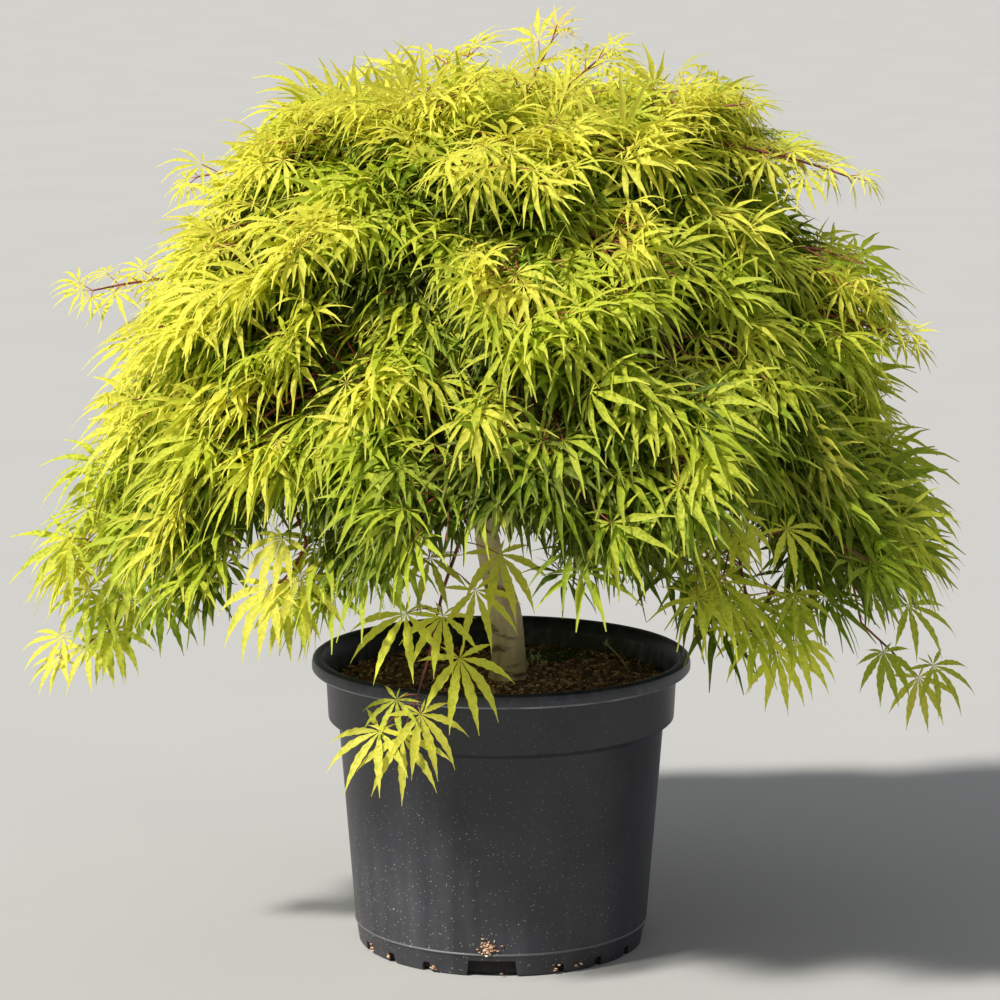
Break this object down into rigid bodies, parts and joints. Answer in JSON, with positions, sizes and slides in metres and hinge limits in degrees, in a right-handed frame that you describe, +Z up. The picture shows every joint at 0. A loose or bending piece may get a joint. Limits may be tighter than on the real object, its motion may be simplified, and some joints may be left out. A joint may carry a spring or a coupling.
{
  "type": "potted japanese maple",
  "caption": "Weeping ornamental tree with finely lobed yellow-green leaves on arching red shoots, standing in a round black nursery pot.",
  "frame": {"origin": "middle of the pot's flat underside", "axes": "+Z up, -Y towards the front as pictured, +X towards the right of the picture"},
  "size_m": [0.8587, 0.7715, 0.84],
  "materials": {
    "pot_plastic": "satin charcoal, dusty, lightly scuffed on the lip",
    "compost": "coarse brown bark compost with tan bits",
    "bark": "grey-tan bark with brown bands",
    "young_bark": "smooth dark red-brown bark",
    "foliage": "soft yellow-green leaves on crimson stalks"
  },
  "bodies": {
    "root": {"bough_high_1": "young_bark", "bough_high_2": "young_bark", "bough_high_3": "young_bark", "bough_high_4": "young_bark", "bough_low_1": "young_bark", "bough_low_2": "young_bark", "bough_low_3": "young_bark", "bough_low_4": "young_bark", "bough_low_5": "young_bark", "bough_middle_1": "young_bark", "bough_middle_2": "young_bark", "bough_middle_3": "young_bark", "bough_middle_4": "young_bark", "bough_middle_5": "young_bark", "compost": "compost", "dome_1": "foliage", "dome_2": "foliage", "dome_3": "foliage", "dome_4": "foliage", "dome_5": "foliage", "dome_6": "foliage", "dome_7": "foliage", "dome_8": "foliage", "mantle_1": "foliage", "mantle_10": "foliage", "mantle_2": "foliage", "mantle_3": "foliage", "mantle_4": "foliage", "mantle_5": "foliage", "mantle_6": "foliage", "mantle_7": "foliage", "mantle_8": "foliage", "mantle_9": "foliage", "pot": "pot_plastic", "skirt_1": "foliage", "skirt_10": "foliage", "skirt_2": "foliage", "skirt_3": "foliage", "skirt_4": "foliage", "skirt_5": "foliage", "skirt_6": "foliage", "skirt_7": "foliage", "skirt_8": "foliage", "skirt_9": "foliage", "top_1": "foliage", "top_2": "foliage", "top_3": "foliage", "trunk": "bark"}
  },
  "joints": []
}
